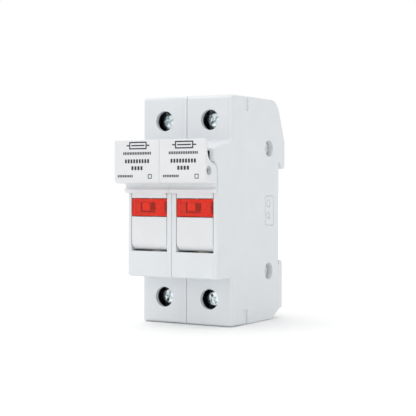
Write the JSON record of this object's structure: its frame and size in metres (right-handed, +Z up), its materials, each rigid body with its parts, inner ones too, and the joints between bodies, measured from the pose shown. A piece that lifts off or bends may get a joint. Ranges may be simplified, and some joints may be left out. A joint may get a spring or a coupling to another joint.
{
  "type": "cartridge fuse holder",
  "caption": "Modular fuse disconnector for 10 x 38 mm cartridge fuses on a 35 mm rail: ganged hinged fuse carriers with red indicator windows, screw-driven cage terminals and sprung rail clips.",
  "frame": {"origin": "centre of the bounding box at the level of the base, on which the device stands; the two poles lie either side of the plane X = 0", "axes": "+X across the poles to the right seen from the front, +Y from the handles to the rail, +Z up"},
  "size_m": [0.0358, 0.0566, 0.078],
  "materials": {
    "housing_white": "fine moulded texture",
    "carrier_white": "smooth moulded",
    "lens_red": "clear, polished",
    "circuit_board": "laminate",
    "lamp_body": "diffusing",
    "fuse_ceramic": "unglazed",
    "nickel_plate": "nickel plated",
    "silver_plate": "silver plated",
    "spring_steel": "bright rolled",
    "zinc_steel": "bright zinc plated",
    "pin_plastic": "moulded",
    "printing_ink": "pad printed"
  },
  "bodies": {
    "housing": {"left_housing_shell": "housing_white", "left_housing_cover": "housing_white", "left_contact_upper": "silver_plate", "left_contact_lower": "silver_plate", "left_contact_spring_upper": "spring_steel", "left_contact_spring_lower": "spring_steel", "left_rail_clip_spring": "spring_steel", "right_housing_shell": "housing_white", "right_housing_cover": "housing_white", "right_contact_upper": "silver_plate", "right_contact_lower": "silver_plate", "right_contact_spring_upper": "spring_steel", "right_contact_spring_lower": "spring_steel", "right_rail_clip_spring": "spring_steel", "pole_pin_upper": "pin_plastic", "pole_pin_lower": "pin_plastic"},
    "fuse_carriers": {"handle_tie_pin": "zinc_steel", "left_fuse_carrier": "carrier_white", "left_indicator_lens": "lens_red", "left_indicator_board": "circuit_board", "left_indicator_lamp": "lamp_body", "left_indicator_resistor": "circuit_board", "left_indicator_lead_upper": "silver_plate", "left_indicator_lead_lower": "silver_plate", "left_fuse_tube": "fuse_ceramic", "left_fuse_element": "silver_plate", "left_fuse_cap_upper": "nickel_plate", "left_fuse_cap_lower": "nickel_plate", "right_fuse_carrier": "carrier_white", "right_indicator_lens": "lens_red", "right_indicator_board": "circuit_board", "right_indicator_lamp": "lamp_body", "right_indicator_resistor": "circuit_board", "right_indicator_lead_upper": "silver_plate", "right_indicator_lead_lower": "silver_plate", "right_fuse_tube": "fuse_ceramic", "right_fuse_element": "silver_plate", "right_fuse_cap_upper": "nickel_plate", "right_fuse_cap_lower": "nickel_plate"},
    "left_upper_cage": {"left_terminal_cage_upper": "zinc_steel"},
    "left_upper_screw": {"left_terminal_screw_upper": "zinc_steel"},
    "left_lower_cage": {"left_terminal_cage_lower": "zinc_steel"},
    "left_lower_screw": {"left_terminal_screw_lower": "zinc_steel"},
    "left_rail_clip": {"left_rail_clip": "carrier_white"},
    "right_upper_cage": {"right_terminal_cage_upper": "zinc_steel"},
    "right_upper_screw": {"right_terminal_screw_upper": "zinc_steel"},
    "right_lower_cage": {"right_terminal_cage_lower": "zinc_steel"},
    "right_lower_screw": {"right_terminal_screw_lower": "zinc_steel"},
    "right_rail_clip": {"right_rail_clip": "carrier_white"}
  },
  "joints": [
    {"name": "carrier_swing", "type": "hinge", "parent": "housing", "child": "fuse_carriers", "pos_m": [0, -0.0173, 0.0286], "axis": [1, 0, 0], "range_deg": [0, 85]},
    {"name": "left_upper_screw_turn", "type": "hinge", "parent": "housing", "child": "left_upper_screw", "pos_m": [-0.009, -0.0076, 0.0696], "axis": [0, 1, 0], "range_deg": [0, 1980]},
    {"name": "left_upper_cage_slide", "type": "slide", "parent": "housing", "child": "left_upper_cage", "axis": [0, -1, 0], "range_m": [0, 0.0044]},
    {"name": "left_lower_screw_turn", "type": "hinge", "parent": "housing", "child": "left_lower_screw", "pos_m": [-0.009, -0.0076, 0.0089], "axis": [0, 1, 0], "range_deg": [0, 1980]},
    {"name": "left_lower_cage_slide", "type": "slide", "parent": "housing", "child": "left_lower_cage", "axis": [0, -1, 0], "range_m": [0, 0.0044]},
    {"name": "left_rail_clip_slide", "type": "slide", "parent": "housing", "child": "left_rail_clip", "axis": [0, 0, -1], "range_m": [0, 0.002], "stiffness_N_per_m": 800, "deforming": ["left_rail_clip_spring"]},
    {"name": "right_upper_screw_turn", "type": "hinge", "parent": "housing", "child": "right_upper_screw", "pos_m": [0.009, -0.0076, 0.0696], "axis": [0, 1, 0], "range_deg": [0, 1980]},
    {"name": "right_upper_cage_slide", "type": "slide", "parent": "housing", "child": "right_upper_cage", "axis": [0, -1, 0], "range_m": [0, 0.0044]},
    {"name": "right_lower_screw_turn", "type": "hinge", "parent": "housing", "child": "right_lower_screw", "pos_m": [0.009, -0.0076, 0.0089], "axis": [0, 1, 0], "range_deg": [0, 1980]},
    {"name": "right_lower_cage_slide", "type": "slide", "parent": "housing", "child": "right_lower_cage", "axis": [0, -1, 0], "range_m": [0, 0.0044]},
    {"name": "right_rail_clip_slide", "type": "slide", "parent": "housing", "child": "right_rail_clip", "axis": [0, 0, -1], "range_m": [0, 0.002], "stiffness_N_per_m": 800, "deforming": ["right_rail_clip_spring"]}
  ],
  "couplings": [
    {"joint": "left_upper_screw_turn", "follows": "left_upper_cage_slide", "rad_per_m": 7854},
    {"joint": "left_lower_screw_turn", "follows": "left_lower_cage_slide", "rad_per_m": 7854},
    {"joint": "right_upper_screw_turn", "follows": "right_upper_cage_slide", "rad_per_m": 7854},
    {"joint": "right_lower_screw_turn", "follows": "right_lower_cage_slide", "rad_per_m": 7854}
  ]
}
